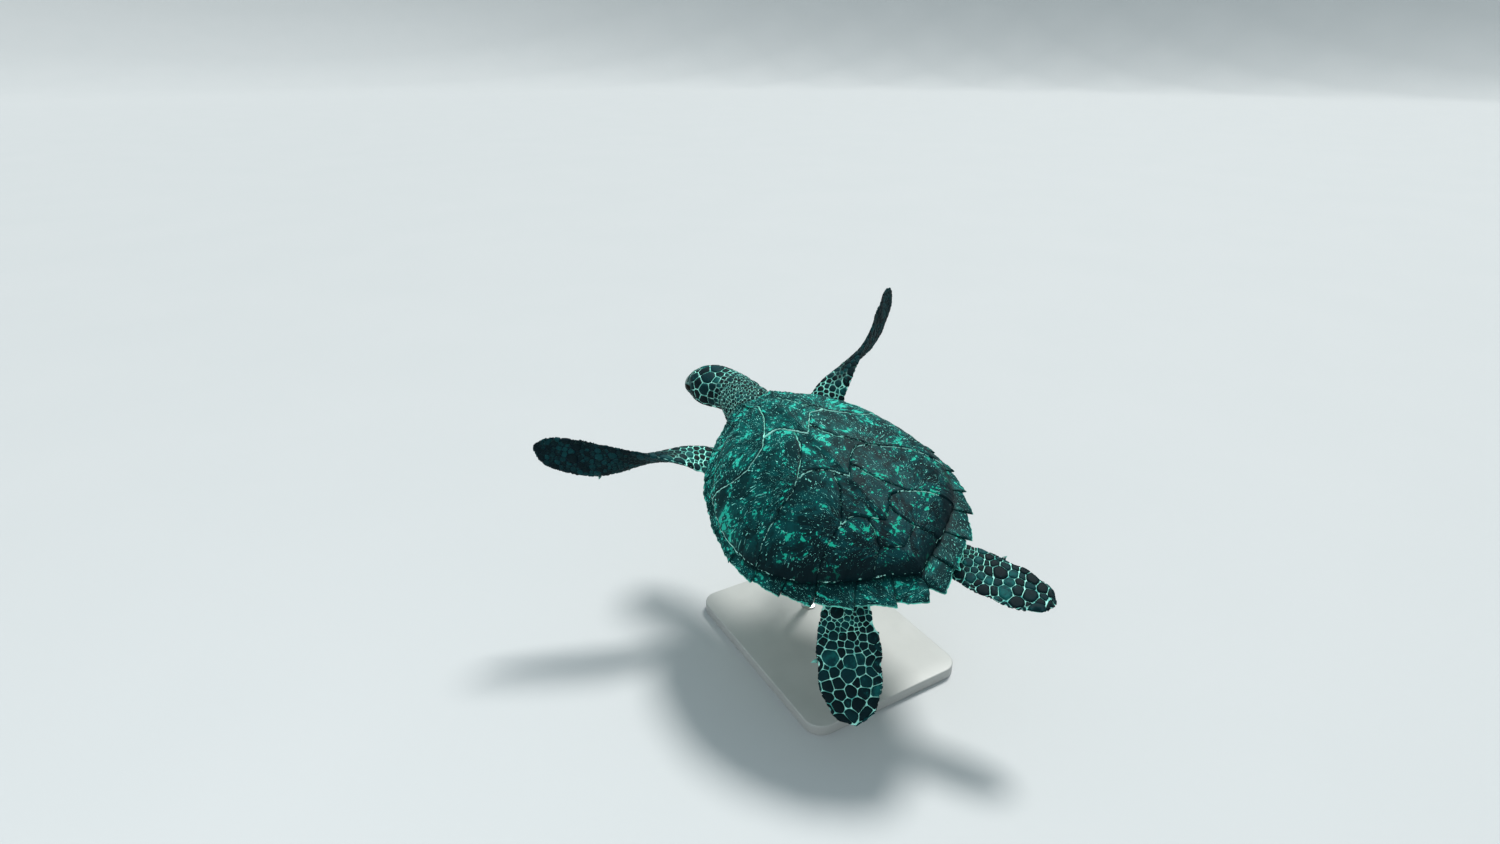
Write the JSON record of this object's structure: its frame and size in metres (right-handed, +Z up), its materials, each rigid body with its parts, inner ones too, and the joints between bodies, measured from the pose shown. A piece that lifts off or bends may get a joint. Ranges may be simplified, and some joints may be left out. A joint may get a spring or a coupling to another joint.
{
  "type": "sea turtle model",
  "caption": "Life-size still model of a swimming hawksbill sea turtle, flippers spread and head turned, held over a flat base by upright rods.",
  "frame": {"origin": "centre of the underside of the stand's base", "axes": "-Y is the way the turtle heads, +X is its left side, +Z is up"},
  "size_m": [0.855, 0.8631, 0.6032],
  "materials": {
    "shell_horn": "dark teal horn plates",
    "plastron_horn": "pale yellow horn",
    "scaled_skin": "dark scales with pale seams",
    "beak_horn": "smooth horn",
    "eye_glass": "wet dark eye",
    "stand_paint": "satin light grey paint",
    "stand_steel": "satin steel rod"
  },
  "bodies": {
    "root": {"vertebral_1": "shell_horn", "vertebral_2": "shell_horn", "vertebral_3": "shell_horn", "vertebral_4": "shell_horn", "vertebral_5": "shell_horn", "costal_left_1": "shell_horn", "costal_left_2": "shell_horn", "costal_left_3": "shell_horn", "costal_left_4": "shell_horn", "costal_right_1": "shell_horn", "costal_right_2": "shell_horn", "costal_right_3": "shell_horn", "costal_right_4": "shell_horn", "nuchal": "shell_horn", "marginal_left_01": "shell_horn", "marginal_left_02": "shell_horn", "marginal_left_03": "shell_horn", "marginal_left_04": "shell_horn", "marginal_left_05": "shell_horn", "marginal_left_06": "shell_horn", "marginal_left_07": "shell_horn", "marginal_left_08": "shell_horn", "marginal_left_09": "shell_horn", "marginal_left_10": "shell_horn", "marginal_left_11": "shell_horn", "marginal_left_12": "shell_horn", "marginal_right_01": "shell_horn", "marginal_right_02": "shell_horn", "marginal_right_03": "shell_horn", "marginal_right_04": "shell_horn", "marginal_right_05": "shell_horn", "marginal_right_06": "shell_horn", "marginal_right_07": "shell_horn", "marginal_right_08": "shell_horn", "marginal_right_09": "shell_horn", "marginal_right_10": "shell_horn", "marginal_right_11": "shell_horn", "marginal_right_12": "shell_horn", "plastron": "plastron_horn", "trunk": "scaled_skin", "neck": "scaled_skin", "head": "scaled_skin", "tail": "scaled_skin", "flipper_front_left": "scaled_skin", "flipper_front_right": "scaled_skin", "flipper_hind_left": "scaled_skin", "flipper_hind_right": "scaled_skin", "beak_upper": "beak_horn", "beak_lower": "beak_horn", "claw_front_left_a": "beak_horn", "claw_front_left_b": "beak_horn", "claw_front_right_a": "beak_horn", "claw_front_right_b": "beak_horn", "claw_hind_left_a": "beak_horn", "claw_hind_right_a": "beak_horn", "eye_left": "eye_glass", "eye_right": "eye_glass", "stand_base": "stand_paint", "stand_rod_front": "stand_steel", "stand_rod_rear": "stand_steel"}
  },
  "joints": []
}
